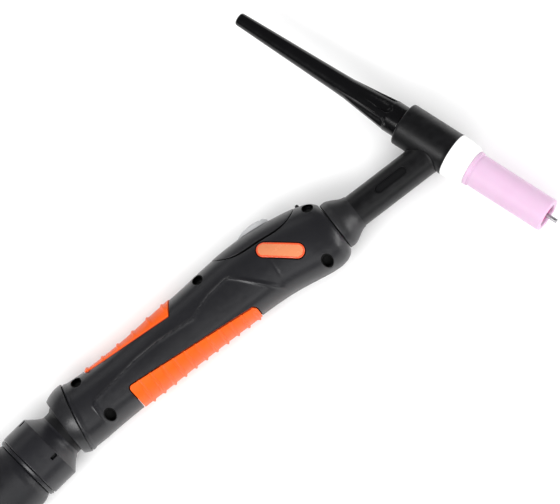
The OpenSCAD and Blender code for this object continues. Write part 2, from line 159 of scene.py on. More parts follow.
def make_stage():
    scene = bpy.context.scene
    scene.view_settings.view_transform = "Standard"
    world = bpy.data.worlds.new("studio")
    scene.world = world
    world.use_nodes = True
    background = world.node_tree.nodes["Background"]
    background.inputs["Color"].default_value = (1, 1, 1, 1)
    background.inputs["Strength"].default_value = 0.12
    size = 3.0
    mesh = bpy.data.meshes.new("floor")
    corners = [(x, y, FLOOR_Z) for x, y in ((-size, -size), (size, -size), (size, size), (-size, size))]
    mesh.from_pydata(corners, [], [(0, 1, 2, 3)])
    floor = bpy.data.objects.new("floor", mesh)
    scene.collection.objects.link(floor)
    mesh.materials.append(look("floor", (0.95, 0.95, 0.95), 0.7, vary=0.01, grain=300, bump=0.01))
    area_light("left", (-0.66, -0.46, 0.95), (0, 0, 0), (0.8, 0.5), 9.5)
    area_light("near", (-0.05, -0.95, 0.6), (0, 0, 0), (0.9, 0.35), 1.4)
    area_light("right", (0.93, -0.54, 0.34), (0, 0, 0), (0.75, 0.4), 5.2)
    area_light("far", (0.05, 0.95, 0.6), (0, 0, 0), (0.9, 0.3), 0.8)
    area_light("over", (0.0, 0.0, 1.3), (0, 0, 0), (2.4, 2.4), 28, glossy=False)


# ---- materials ----

def ramp(tree, source, low, high, out_low, out_high):
    node = tree.nodes.new("ShaderNodeMapRange")
    node.clamp = True
    for name, value in (("From Min", low), ("From Max", high), ("To Min", out_low), ("To Max", out_high)):
        node.inputs[name].default_value = value
    tree.links.new(source, node.inputs["Value"])
    return node.outputs["Result"]


def blend_colours(tree, factor, first, second):
    node = tree.nodes.new("ShaderNodeMix")
    node.data_type = "RGBA"
    tree.links.new(factor, node.inputs["Factor"])
    for socket, colour in ((node.inputs["A"], first), (node.inputs["B"], second)):
        if isinstance(colour, tuple):
            socket.default_value = (*colour, 1)
        else:
            tree.links.new(colour, socket)
    return node.outputs["Result"]


def noise(tree, coords, scale, detail=3.0, roughness=0.55, stretch=None):
    if stretch is not None:
        mapping = tree.nodes.new("ShaderNodeMapping")
        mapping.inputs["Rotation"].default_value = stretch[1]
        mapping.inputs["Scale"].default_value = stretch[0]
        tree.links.new(coords, mapping.inputs["Vector"])
        coords = mapping.outputs["Vector"]
    node = tree.nodes.new("ShaderNodeTexNoise")
    node.inputs["Scale"].default_value = scale
    node.inputs["Detail"].default_value = detail
    node.inputs["Roughness"].default_value = roughness
    tree.links.new(coords, node.inputs["Vector"])
    return node.outputs["Fac"]


def look(name, colour, rough, vary=0.12, grain=1500.0, bump=0.02, wear=0.0, wear_colour=None, metal=0.0,
         coat=0.0, soft=0.0, soft_colour=None, gloss=0.5, scuff=0.06, stretch=None, patch_scale=70.0):
    """A procedural finish: mottled colour, uneven roughness, fine grain, scuffs and rubbed edges.

    grain is the fine texture's scale per metre, bump its height in millimetres.
    """
    material = bpy.data.materials.new(name)
    material.use_nodes = True
    tree = material.node_tree
    shader = tree.nodes["Principled BSDF"]
    coords = tree.nodes.new("ShaderNodeTexCoord").outputs["Object"]
    broad = noise(tree, coords, patch_scale, 4.0)
    fine = noise(tree, coords, grain, 2.0, 0.6, stretch)
    streaks = noise(tree, coords, 260.0, 5.0, 0.7)
    darker = tuple(c * (1 - vary) for c in colour)
    lighter = tuple(min(1.0, c * (1 + vary)) for c in colour)
    paint = blend_colours(tree, ramp(tree, broad, 0.3, 0.7, 0, 1), darker, lighter)
    speckle = ramp(tree, fine, 0.35, 0.75, 0.0, 0.35)
    paint = blend_colours(tree, speckle, paint, lighter)
    roughness = ramp(tree, streaks, 0.3, 0.75, max(0.02, rough - scuff), min(1.0, rough + scuff))
    if wear:
        edges = ramp(tree, tree.nodes.new("ShaderNodeNewGeometry").outputs["Pointiness"], 0.515, 0.6, 0, 1)
        spots = tree.nodes.new("ShaderNodeMath")
        spots.operation = "MULTIPLY"
        tree.links.new(edges, spots.inputs[0])
        tree.links.new(ramp(tree, streaks, 0.35, 0.6, 0.15 * wear, wear), spots.inputs[1])
        rubbed = wear_colour or tuple(min(1, c * 2.2) for c in colour)
        paint = blend_colours(tree, spots.outputs[0], paint, rubbed)
    tree.links.new(paint, shader.inputs["Base Color"])
    tree.links.new(roughness, shader.inputs["Roughness"])
    shader.inputs["Metallic"].default_value = metal
    shader.inputs["Specular IOR Level"].default_value = gloss
    shader.inputs["Coat Weight"].default_value = coat
    shader.inputs["Coat Roughness"].default_value = 0.08
    if soft:
        shader.inputs["Subsurface Weight"].default_value = soft
        shader.inputs["Subsurface Radius"].default_value = soft_colour or colour
        shader.inputs["Subsurface Scale"].default_value = 0.002
    bumps = tree.nodes.new("ShaderNodeBump")
    bumps.inputs["Strength"].default_value = 1.0
    bumps.inputs["Distance"].default_value = bump * MM
    tree.links.new(fine, bumps.inputs["Height"])
    tree.links.new(bumps.outputs["Normal"], shader.inputs["Normal"])
    return material


def make_looks():
    along_head = ((3.0, 60.0, 60.0), (0, 0, -math.atan2(HEAD.x[1], HEAD.x[0])))
    return {
        "shell": look("shell_plastic", (0.009, 0.009, 0.0108), 0.36, bump=0.03, grain=1700, wear=0.35),
        "band": look("band_plastic", (0.013, 0.013, 0.0145), 0.34, bump=0.03, grain=1700, wear=0.35),
        "module": look("module_plastic", (0.009, 0.009, 0.0108), 0.38, bump=0.03, grain=1600, wear=0.3),
        "adapter": look("adapter_plastic", (0.012, 0.012, 0.0132), 0.42, bump=0.02, grain=1500, wear=0.25),
        # Near-black, dull copy of the handle plastic for recess walls, pocket floors and the insides of the shells
        # and module: painted shade in the recesses.
        "pocket": look("pocket_painted_shade", (0.002, 0.002, 0.002), 0.8, bump=0.02, gloss=0.15),
        "grip": look("grip_rubber", (0.80, 0.098, 0.004), 0.42, vary=0.07, bump=0.03, grain=1300, wear=0.3,
                     wear_colour=(0.90, 0.20, 0.03), gloss=0.25),
        # Darker red-orange for the grips' walls down into the gap: painted shade between grip and shell.
        "grip_gap_painted_shade": look("grip_gap_painted_shade", (0.70, 0.070, 0.016), 0.5, vary=0.07, bump=0.02, grain=1300),
        "badge": look("badge_plastic", (0.62, 0.205, 0.085), 0.26, vary=0.05, bump=0.006, grain=900,
                      coat=0.5),
        # Darker red-orange for the badge's rim: painted shade along the domed resin's edge.
        "badge_rim_painted_shade": look("badge_rim_painted_shade", (0.70, 0.07, 0.014), 0.3, vary=0.05, bump=0.006, coat=0.6),
        "button": look("button_plastic", (0.46, 0.465, 0.475), 0.38, vary=0.05, bump=0.012, grain=1200,
                       wear=0.3, wear_colour=(0.62, 0.63, 0.64)),
        "mould": look("mould_rubber", (0.0028, 0.0028, 0.0033), 0.42, vary=0.4, bump=0.04, grain=1100,
                      wear=0.4, gloss=0.42, scuff=0.1, patch_scale=260.0),
        "sleeve": look("sleeve_rubber", (0.006, 0.006, 0.0078), 0.46, bump=0.035, grain=1200, wear=0.3,
                       scuff=0.08),
        "cap": look("cap_phenolic", (0.0020, 0.0020, 0.0024), 0.22, vary=0.2, bump=0.006, grain=700, wear=0.2,
                    gloss=0.35, scuff=0.06),
        "ptfe": look("ptfe", (0.90, 0.90, 0.89), 0.36, vary=0.02, bump=0.008, grain=900, soft=0.2,
                     soft_colour=(1, 1, 1), scuff=0.08),
        "ceramic": look("pink_ceramic", (0.64, 0.445, 0.60), 0.47, vary=0.03, bump=0.012, grain=1600,
                        soft=0.3, soft_colour=(1.0, 0.45, 0.7)),
        # Darker, deeper magenta copy of the pink ceramic for the inside of the nozzle's bore: painted shade inside
        # the bore.
        "bore_painted_shade": look("pink_ceramic_bore_painted_shade", (0.80, 0.17, 0.46), 0.6, vary=0.12, bump=0.02, grain=1200),
        "tungsten": look("tungsten", (0.42, 0.42, 0.43), 0.3, vary=0.25, bump=0.01, metal=0.9, grain=40,
                         stretch=along_head, scuff=0.12),
        "brass": look("brass", (0.72, 0.50, 0.20), 0.32, vary=0.12, bump=0.006, metal=1.0, scuff=0.1),
        "copper": look("copper", (0.75, 0.38, 0.24), 0.3, vary=0.14, bump=0.006, metal=1.0, scuff=0.1),
        "steel": look("steel", (0.42, 0.43, 0.45), 0.34, vary=0.14, bump=0.008, metal=1.0, scuff=0.12),
        "blackened": look("blackened_steel", (0.014, 0.014, 0.016), 0.4, vary=0.2, bump=0.01, metal=0.5,
                          scuff=0.1),
        "switch": look("switch_plastic", (0.02, 0.02, 0.022), 0.4, bump=0.01),
        "plunger": look("plunger_plastic", (0.5, 0.05, 0.03), 0.35, bump=0.006),
        "nitrile": look("o_ring", (0.010, 0.010, 0.010), 0.45, bump=0.01, grain=1200),
        # Darker and duller than the collar's plastic, for the ball behind the band and for the neck's slots:
        # painted shade.
        "ball": look("ball_and_slot_painted_shade", (0.004, 0.004, 0.0045), 0.45, bump=0.012, grain=1500, gloss=0.25),
        "joint": look("joint_plastic", (0.010, 0.010, 0.0122), 0.36, bump=0.012, grain=1500, wear=0.3),
    }


# ---- mesh building ----

class Piece:
    """Collects the faces of one piece, whose points are in millimetres in its axes."""

    def __init__(self, axes):
        self.axes = axes
        self.points, self.faces, self.slots, self.count = [], [], [], 0

    def add(self, points, faces, slot=0):
        points = np.asarray(points, float).reshape(-1, 3)
        self.points.append(self.axes(points))
        self.faces.append(np.asarray(faces, int) + self.count)
        self.slots.append(np.full(len(faces), slot))
        self.count += len(points)

    def grid(self, rows, round_rows=False, round_columns=False, slot=0):
        n, m = rows.shape[:2]
        i, j = np.meshgrid(np.arange(n if round_rows else n - 1), np.arange(m if round_columns else m - 1),
                           indexing="ij")
        i, j = i.ravel(), j.ravel()
        down, on = (i + 1) % n, (j + 1) % m
        self.add(rows, np.stack([i * m + j, i * m + on, down * m + on, down * m + j], 1), slot)

    def make(self, name, body, looks, nodes, sharp=38):
        mesh = bpy.data.meshes.new(name)
        faces = [f for block in self.faces for f in block.tolist()]
        mesh.from_pydata(np.concatenate(self.points).tolist(), [], faces)
        mesh.polygons.foreach_set("material_index", np.concatenate(self.slots))
        shape = bmesh.new()
        shape.from_mesh(mesh)
        bmesh.ops.remove_doubles(shape, verts=shape.verts, dist=2e-7)
        bmesh.ops.dissolve_degenerate(shape, edges=shape.edges, dist=1e-8)
        bmesh.ops.recalc_face_normals(shape, faces=shape.faces)
        shape.to_mesh(mesh)
        shape.free()
        mesh.shade_smooth()
        mesh.set_sharp_from_angle(angle=math.radians(sharp))
        for finish in looks:
            mesh.materials.append(finish)
        obj = bpy.data.objects.new(name, mesh)
        bpy.context.scene.collection.objects.link(obj)
        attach(obj, body)
        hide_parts(*nodes)
        return obj


def soften(path, closed=False, steps=4):
    """Rounds the corners of a path of (place, radius, rounding), with a support point beside each arc."""
    count = len(path)
    out = []
    for k, (s, r, rounding) in enumerate(path):
        corner = np.array([s, r], float)
        if not rounding or (not closed and k in (0, count - 1)):
            out.append(corner)
            continue
        before = np.array(path[k - 1][:2], float) - corner
        after = np.array(path[(k + 1) % count][:2], float) - corner
        length_before, length_after = np.linalg.norm(before), np.linalg.norm(after)
        reach = min(rounding, 0.46 * length_before, 0.46 * length_after)
        a, b = corner + before / length_before * reach, corner + after / length_after * reach
        margin = min(0.12, 0.3 * reach)
        out.append(a + before / length_before * margin)
        for t in np.linspace(0, 1, steps + 1):
            out.append((1 - t) ** 2 * a + 2 * t * (1 - t) * corner + t * t * b)
        out.append(b + after / length_after * margin)
    return np.array(out)


def turned(path, closed=False, sides=112, steps=4, shape=None):
    """Rows of points of a turned form along X; shape may change them from (s, r, angle)."""
    profile = soften(path, closed, steps)
    angle = np.linspace(0, 2 * math.pi, sides, endpoint=False)
    s = np.repeat(profile[:, :1], sides, 1)
    r = np.repeat(profile[:, 1:], sides, 1)
    a = np.repeat(angle[None], len(profile), 0)
    if shape is not None:
        s, r = shape(s, r, a)
    return np.stack([s, r * np.cos(a), r * np.sin(a)], -1)


def lathe(piece, path, closed=False, sides=112, steps=4, shape=None, slot=0):
    piece.grid(turned(path, closed, sides, steps, shape), round_rows=closed, round_columns=True, slot=slot)


def settle(q, field, surf, which, held, rounds=6):
    """Moves the chosen surface points along the surface until field is zero there."""
    step = 0.02
    for _ in range(rounds):
        here = q[which]
        value = field(surf(here, 0))
        slopes = np.stack([(field(surf(here + d, 0)) - value) / step for d in ((step, 0), (0, step))], 1)
        slopes[held[which]] = 0
        size = np.maximum((slopes ** 2).sum(1), 1e-3)
        move = -(value / size)[:, None] * slopes
        q[which] = here + np.clip(move, -0.5, 0.5)


def open_edges(quads):
    """Directed edges of the quads that no other quad shares."""
    edges = np.concatenate([quads[:, [k, (k + 1) % 4]] for k in range(4)])
    top = quads.max() + 1 if len(quads) else 1
    keys, back = edges[:, 0] * top + edges[:, 1], edges[:, 1] * top + edges[:, 0]
    return edges[~np.isin(keys, back)]


def patch(piece, us, vs, surf, depth, edge=0.25, keep=None, pockets=(), wrap=False, slots=(0, 0)):
    """A walled piece of a surface, cut clean along a field's zero line, with rounded edges.

    surf(q, lift) gives points for surface places q; keep is negative where the piece exists;
    pockets holds (field, floor) pairs: floor(points, normals, ids, out) gives the rings of a pocket's
    wall and the points of its floor, or None for a floor that closes on its centre.
    """
    n, m = len(us), len(vs)
    q = np.stack(np.meshgrid(us, vs, indexing="ij"), -1).reshape(-1, 2)
    i, j = np.meshgrid(np.arange(n - 1), np.arange(m if wrap else m - 1), indexing="ij")
    a, b = (i * m + j).ravel(), (i * m + (j + 1) % m).ravel()
    quads = np.stack([a, b, b + m, a + m], 1)
    row, column = np.divmod(np.arange(n * m), m)
    held_along = (row == 0) | (row == n - 1)
    held_across = np.zeros(n * m, bool) if wrap else (column == 0) | (column == m - 1)
    held = np.stack([held_along, held_across], 1)

    def inside(field, faces):
        value = field(surf(q, 0))
        within = value[quads].mean(1) < 0
        mark = np.zeros(n * m, int)
        mark[quads[faces & within].ravel()] |= 1
        mark[quads[faces & ~within].ravel()] |= 2
        seam = np.flatnonzero(mark == 3)
        if len(seam):
            settle(q, field, surf, seam, held)
        return within

    alive = np.ones(len(quads), bool)
    if keep is not None:
        alive &= inside(keep, alive)
    masks = [alive & inside(field, alive) for field, _ in pockets]
    points = surf(q, 0)
    step = 0.03
    along = surf(q + (step, 0), 0) - surf(q - (step, 0), 0)
    across = surf(q + (0, step), 0) - surf(q - (0, step), 0)
    normals = np.cross(across, along) * math.copysign(1, us[-1] - us[0])
    normals /= np.linalg.norm(normals, axis=1)[:, None]
    under = surf(q, -depth)

    def outward(edges, ids):
        d = points[edges[:, 1]] - points[edges[:, 0]]
        t = np.cross(d, normals[edges[:, 0]] + normals[edges[:, 1]])
        total = np.zeros((n * m, 3))
        for k in (0, 1):
            np.add.at(total, edges[:, k], t)
        total = total[ids]
        return total / np.maximum(np.linalg.norm(total, axis=1), 1e-9)[:, None]

    def walls(edges, ids, rings, slot):
        place = np.zeros(n * m, int)
        place[ids] = np.arange(len(ids))
        near = place[edges]
        for upper, lower in zip(rings[:-1], rings[1:]):
            k = len(ids)
            piece.add(np.concatenate([upper, lower]),
                      np.stack([near[:, 1], near[:, 0], near[:, 0] + k, near[:, 1] + k], 1), slot)

    top_faces = alive.copy()
    for mask, (_, floor) in zip(masks, pockets):
        top_faces &= ~mask
        edges = open_edges(quads[mask])[:, ::-1]
        ids = np.unique(edges)
        out = outward(edges, ids)
        rings, base = floor(points, normals, ids, out)
        walls(edges, ids, rings, slots[1])
        if base is None:
            centre = rings[-1].mean(0)
            place = np.zeros(n * m, int)
            place[ids] = np.arange(len(ids))
            near = place[edges]
            piece.add(np.concatenate([rings[-1], centre[None]]),
                      np.stack([near[:, 1], near[:, 0], np.full(len(near), len(ids))], 1), slots[1])
        else:
            base[ids] = rings[-1]
            piece.add(base, quads[mask], slots[1])
    piece.add(points, quads[top_faces], slots[0])
    piece.add(under, quads[alive][:, ::-1], slots[1])
    edges = open_edges(quads[alive])
    ids = np.unique(edges)
    out = outward(edges, ids)
    rings = [points[ids]]
    for phi in np.radians((25, 50, 72, 90)):
        rings.append(points[ids] + out * edge * math.sin(phi) - normals[ids] * edge * (1 - math.cos(phi)))
    walls(edges, ids, rings, slots[0])
    walls(edges, ids, [rings[-1], under[ids] + out * edge, under[ids]], slots[1])


# ---- fields: distances in millimetres, negative inside ----

FAR = 9.0


def smooth(t):
    t = np.clip(t, 0, 1)
    return t * t * (3 - 2 * t)


def polygon_field(x, y, corners):
    p = np.stack([x, y], -1)
    corners = np.array(corners, float)
    best = np.full(x.shape, 1e9)
    odd = np.zeros(x.shape, bool)
    for k in range(len(corners)):
        a, b = corners[k - 1], corners[k]
        ab, ap = b - a, p - a
        t = np.clip((ap @ ab) / (ab @ ab), 0, 1)
        best = np.minimum(best, np.linalg.norm(ap - t[..., None] * ab, axis=-1))
        if a[1] != b[1]:
            crosses = (a[1] > y) != (b[1] > y)
            odd ^= crosses & (x < a[0] + (y - a[1]) * (b[0] - a[0]) / (b[1] - a[1]))
    return np.where(odd, -best, best)


def line_distance(x, y, corners):
    p = np.stack([x, y], -1)
    best = np.full(x.shape, 1e9)
    for a, b in zip(corners[:-1], corners[1:]):
        a, b = np.array(a, float), np.array(b, float)
        ab, ap = b - a, p - a
        t = np.clip((ap @ ab) / (ab @ ab), 0, 1)
        best = np.minimum(best, np.linalg.norm(ap - t[..., None] * ab, axis=-1))
    return best


def stadium_field(x, y, length, width):
    return np.hypot(np.maximum(np.abs(x) - (length - width) / 2, 0), y) - width / 2


def oval_field(x, y, a, b, power):
    def raw(x, y):
        return ((np.abs(x) / a) ** power + (np.abs(y) / b) ** power + 1e-9) ** (1 / power) - 1
    value = raw(x, y)
    step = 0.05
    slope = np.hypot((raw(x + step, y) - value) / step, (raw(x, y + step) - value) / step)
    return value / np.maximum(slope, 0.02)


# ---- the handle's skin, as in the CAD ----

# place along the axis, top, bottom, half width, exponent of the rounded section
OUTLINE = [
    [0, 14.3, -14.3, 13.2, 2], [-1.2, 16.0, -15.9, 14.4, 2], [-4, 18.2, -17.7, 15.9, 2.05],
    [-8, 20.0, -18.7, 17.0, 2.1], [-14, 21.6, -18.5, 17.8, 2.15], [-24, 23.5, -16.8, 18.0, 2.2],
    [-36, 25.0, -14.8, 18.0, 2.25], [-50, 25.7, -13.8, 17.8, 2.25], [-66, 24.9, -13.6, 17.5, 2.25],
    [-84, 23.1, -13.5, 17.3, 2.2], [-104, 21.6, -13.6, 17.1, 2.2], [-122, 20.0, -13.9, 17.0, 2.2],
    [-142, 19.4, -14.3, 17.1, 2.1], [-154, 19.9, -14.9, 17.6, 2], [-163, 20.5, -15.5, 18.0, 2],
    [-176, 20.5, -15.5, 18.0, 2]]
WALL = 2.2
GAP = 0.28
SCREWS = [[-157.6, 15.5], [-153.3, -9.5], [-74.4, 19.6], [-5.6, 14.8], [-14.0, -14.3]]
RECESS_R = 2.8
RECESS_Z = 2.5
RECESS_LIP = 0.35
CROSS_REACH, CROSS_HALF = 1.45, 0.33
UPPER_WINDOW = [[-150, 40], [-150, 18.2], [-98.4, 13.8], [-92.5, 24.2], [-92.5, 40]]
LOWER_WINDOW = [[-135.0, -6.8], [-131.9, -40], [-60.0, -40], [-60.6, -12.6]]
UPPER_ROUND, LOWER_ROUND = 1.0, 2.4
BADGE_POCKET = 1.3
# place, length, width and turn
BADGE = (-30.4, 3.9, 26, 8.2, math.radians(-40))
# place, half length, half width and exponent of the oval
MODULE = (-37, 25.5, 16.1, 3.5)
BUTTON_X, BUTTON_LEN, BUTTON_W, BUTTON_TOP, BUTTON_FOOT = -35.5, 19.4, 11.0, 28.2, 20.25
# The raised panel's edge in the side view, from the rear screw over the top and down to the front
PANEL = [[-157.2, -26], [-157.5, -9], [-157.7, -1.4], [-155.6, 0.5], [-145, 2.1], [-132, 4.0], [-125, 5.0],
         [-111.5, 5.6], [-96, 4.6], [-88.6, 3.9], [-82.4, 6.3], [-74, 8.7], [-62.8, 9.9], [-60.4, 9.3],
         [-57.6, 6.8], [-50.6, -0.7], [-40, -11.7], [-34, -26]]
PANEL_H = 0.6
CHEEK = [[-37.6, 3.0], [-38.7, -9.5]]
SKIN_SCALE = 17.0


def outline_table():
    """Columns of OUTLINE at every tenth of a millimetre, on a smooth curve along its rows."""
    rows = np.array(OUTLINE, float)[::-1]
    x = np.arange(-176, 0.001, 0.1)
    slope = np.gradient(rows[:, 1:], rows[:, 0], axis=0)
    k = np.clip(np.searchsorted(rows[:, 0], x, side="right") - 1, 0, len(rows) - 2)
    d = rows[k + 1, 0] - rows[k, 0]
    t = ((x - rows[k, 0]) / d)[:, None]
    d = d[:, None]
    p, r = rows[k, 1:], rows[k + 1, 1:]
    table = (p * (1 + 2 * t) * (1 - t) ** 2 + slope[k] * d * t * (1 - t) ** 2 + r * t * t * (3 - 2 * t)
             + slope[k + 1] * d * t * t * (t - 1))
    kernel = np.exp(-0.5 * (np.arange(-80, 81) / 26.0) ** 2)
    kernel /= kernel.sum()
    padded = np.pad(table, ((80, 80), (0, 0)), mode="edge")
    flowing = np.stack([np.convolve(padded[:, c], kernel, mode="valid") for c in range(4)], 1)
    share = smooth((-x - 5) / 9)[:, None]
    return x, table * (1 - share) + flowing * share


TABLE_X, TABLE = outline_table()


def columns(x):
    return [np.interp(x, TABLE_X, TABLE[:, c]) for c in range(4)]


def bend(v, e):
    return np.sign(v) * np.abs(v) ** e


def skin(x, a, proud):
    top, bottom, half, power = columns(x)
    e = 2 / power
    y = (top + bottom) / 2 + ((top - bottom) / 2 + proud) * bend(np.sin(a), e)
    return np.stack([x, y, (half + proud) * bend(np.cos(a), e)], -1)


def skin_z(x, y):
    top, bottom, half, power = columns(x)
    part = np.abs(2 * y - top - bottom) / (top - bottom)
    return half * np.maximum(0, 1 - part ** power) ** (1 / power)


def upper_field(p):
    return polygon_field(p[:, 0], p[:, 1], UPPER_WINDOW) - UPPER_ROUND


def lower_field(p):
    return polygon_field(p[:, 0], p[:, 1], LOWER_WINDOW) - LOWER_ROUND


def module_field(p):
    x, a, b, power = MODULE
    return np.where(p[:, 1] > 8, oval_field(p[:, 0] - x, p[:, 2], a, b, power), FAR)


def badge_field(p):
    x, y, length, width, turn = BADGE
    dx, dy = p[:, 0] - x, p[:, 1] - y
    u, v = dx * math.cos(turn) + dy * math.sin(turn), -dx * math.sin(turn) + dy * math.cos(turn)
    return np.where(p[:, 2] > 4, stadium_field(u, v, length, width), FAR)


def screw_field(centre):
    def field(p):
        away = np.hypot(p[:, 0] - centre[0], p[:, 1] - centre[1])
        return np.where(p[:, 2] > 2, away, FAR) - RECESS_R - RECESS_LIP
    return field


def band_edge(y):
    """Distance behind the ball's centre at which the socket band starts, which slants."""
    return 0.9 - 0.2 * (y - REAR_Y)


def relief(p):
    """Height of the handle's sculpted panel above the plain skin."""
    x, y = p[:, 0], p[:, 1]
    inside = -polygon_field(x, y, PANEL)
    fade = smooth((y + 14) / 8)
    panel = PANEL_H * smooth((inside + 0.9) / 1.8) * fade
    lip = 0.5 * np.exp(-((inside - 0.7) / 0.75) ** 2) * fade
    cheek = -0.10 * np.exp(-(line_distance(x, y, CHEEK) / 0.7) ** 2)
    dish = -0.35 * np.exp(-(((x + 122) / 26) ** 2 + ((y - 10.5) / 4.5) ** 2))
    rims = sum(0.12 * np.exp(-((np.hypot(x - c[0], y - c[1]) - RECESS_R - 0.7) / 0.35) ** 2) for c in SCREWS)
    behind = (BALL_X - x) - band_edge(y)
    flare = 0.55 * smooth((behind + 3.2) / 2.0) - 0.3 * np.clip((behind + 1.0) / 0.9, 0, 1.2) ** 2
    return panel + lip + cheek + dish + flare + rims * (p[:, 2] > 0)


def skin_surface(proud, thickness=None):
    """surf(q, lift) for patch(): q is (place along the axis, angle times SKIN_SCALE)."""
    def surf(q, lift):
        x, a = q[:, 0], q[:, 1] / SKIN_SCALE
        flat = skin(x, a, 0)
        if lift < 0:
            return skin(x, a, lift if thickness is None else lift * thickness(x))
        return skin(x, a, proud(flat, a))
    return surf


def angles(start, end, count):
    return np.radians(np.linspace(start, end, count)) * SKIN_SCALE


def stations(front, rear, step=0.5):
    return np.linspace(front, rear, int(round((front - rear) / step)) + 1)


def recess_floor(centre):
    def floor(points, normals, ids, out):
        p = points[ids]
        away = p[:, :2] - centre
        away /= np.linalg.norm(away, axis=1)[:, None]
        lip = np.array(centre) + away * RECESS_R
        corner = np.column_stack([lip, skin_z(lip[:, 0], lip[:, 1]) + (p[:, 2] - skin_z(p[:, 0], p[:, 1]))])
        low = corner - (0, 0, RECESS_LIP)
        rings = [(1 - t) ** 2 * p + 2 * t * (1 - t) * corner + t * t * low for t in np.linspace(0, 1, 5)]
        rings += [low - (0, 0, 0.1), np.column_stack([lip, np.full(len(lip), RECESS_Z)])]
        return rings, None
    return floor


def rounded_rim(p, n, out, radius):
    """Rings of points that turn from a surface down into a pocket."""
    return [p] + [p + out * radius * math.sin(f) - n * radius * (1 - math.cos(f))
                  for f in np.radians((30, 60, 90))]


def badge_floor(points, normals, ids, out):
    p, n = points[ids], normals[ids]
    rings = rounded_rim(p, n, out, 0.2)
    rings.append(p + out * 0.2 - n * BADGE_POCKET)
    return rings, points - normals * BADGE_POCKET


def make_shell(name, side, node, looks):
    """One half of the handle, with its windows; the right one has the recesses and the badge's pocket."""
    edge = 0.2

    def keep(p):
        windows = np.minimum.reduce([upper_field(p), lower_field(p), module_field(p) + 0.14])
        behind = (BALL_X - p[:, 0]) - band_edge(p[:, 1])
        return np.maximum(GAP + edge - windows, behind + edge)

    def proud(p, a):
        return relief(p)

    xs = np.concatenate([[-edge, -0.5, -0.85, -1.2, -1.6, -2.0, -2.5], stations(-3.0, -174, 0.5)])
    vs = angles(-89.55, 89.55, 118) if side > 0 else angles(90.45, 269.55, 118)
    pockets = []
    if side > 0:
        pockets = [(screw_field(c), recess_floor(c)) for c in SCREWS]
        pockets.append((lambda p: badge_field(p) - GAP - 0.2, badge_floor))
    piece = Piece(HANDLE)
    thin = lambda x: 1 - 0.7 * smooth((-x - 161.5) / 1.5)
    patch(piece, xs, vs, skin_surface(proud, thin), WALL, edge, keep, pockets, slots=(0, 1))
    # Slot 1 (walls, floors and insides) takes the near-black pocket finish: painted shade in the recesses.
    piece.make(name, "handle", [looks["shell"], looks["pocket"]], [node])


def ribs(x, first, pitch, count, half=1.15):
    """Rounded ribs across a grip: height from 0 to 1."""
    k = np.clip(np.round((first - x) / pitch), 0, count - 1)
    d = np.abs(x - (first - k * pitch)) / half
    return np.where(d < 1, np.cos(d * HALF_PI) ** 1.5, 0)


def make_grips(looks):
    edge = 0.3

    def lower(p, a):
        low = smooth((3.0 - (p[:, 1] + 11)) / 9)
        return 0.35 + (0.8 + 0.35 * low) * ribs(p[:, 0], -60.6, 7.0, 11)

    def upper(p, a):
        return 0.45 + 0.85 * ribs(p[:, 0], -97.5, 10.3, 6, 1.3) * smooth((p[:, 1] - 14) / 4)

    for name, proud, field, vs, node in (
            ("lower_grip_pad", lower, lower_field, angles(-187, 7, 150), "lower_grip"),
            ("upper_grip_pad", upper, upper_field, angles(8, 172, 130), "upper_grip")):
        piece = Piece(HANDLE)
        xs = stations(-54, -141, 0.42) if node == "lower_grip" else stations(-88, -154, 0.42)
        patch(piece, xs, vs, skin_surface(proud), 1.6, edge, lambda p: field(p) + edge + 0.28, slots=(0, 1))
        # Slot 1, the walls into the gap and the underside, takes the darker orange: painted shade in the gap.
        piece.make(name, "handle", [looks["grip"], looks["grip_gap_painted_shade"]], [node])


def make_badge(looks):
    def proud(p, a):
        return 0.25 + 0.35 * np.sqrt(np.clip(-badge_field(p) / 3.7, 0, 1))

    piece = Piece(HANDLE)
    patch(piece, stations(-18, -44, 0.3), angles(-32, 50, 90), skin_surface(proud), 1.0, 0.35,
          lambda p: badge_field(p) + 0.35, slots=(0, 1))
    badge = piece.make("badge_plate", "handle", [looks["badge"], looks["badge_rim_painted_shade"]],
                       ["badge"])
    # Faces within 1 mm of the badge's edge take the darker rim colour: painted shade along the dome's edge.
    for face in badge.data.polygons:
        if badge_field(HANDLE.back(np.array([face.center])))[0] > -1.0:
            face.material_index = 1


def make_module(looks):
    def button(p):
        return stadium_field(p[:, 0] - BUTTON_X, p[:, 2], BUTTON_LEN + 0.5, BUTTON_W + 0.5)

    edge = 0.3
    piece = Piece(HANDLE)
    patch(piece, stations(-10, -64, 0.4), angles(20, 160, 150),
          skin_surface(lambda p, a: 0.12 + 0.25 * np.exp(-(np.maximum(button(p), 0) / 1.2) ** 2)), WALL, edge,
          lambda p: np.maximum(module_field(p) + edge, 0.3 - button(p)), slots=(0, 1))
    box_in(piece, (-48.5, 19.2), (-22.0, 20.8), 7.8, [(BUTTON_X, BUTTON_LEN / 2 + 0.3, BUTTON_W / 2 + 0.3)])
    box_in(piece, (-48.5, 9.5), (-20.0, 11.0), 5.4)
    for front, rear in ((-48.5, -47.0), (-21.5, -20.0)):
        box_in(piece, (front, 11.0), (rear, 19.2), 5.4)
    # The module's walls and inner plates take the near-black pocket finish: painted shade inside.
    piece.make("trigger_module", "handle", [looks["module"], looks["pocket"]],
               ["trigger_housing"])


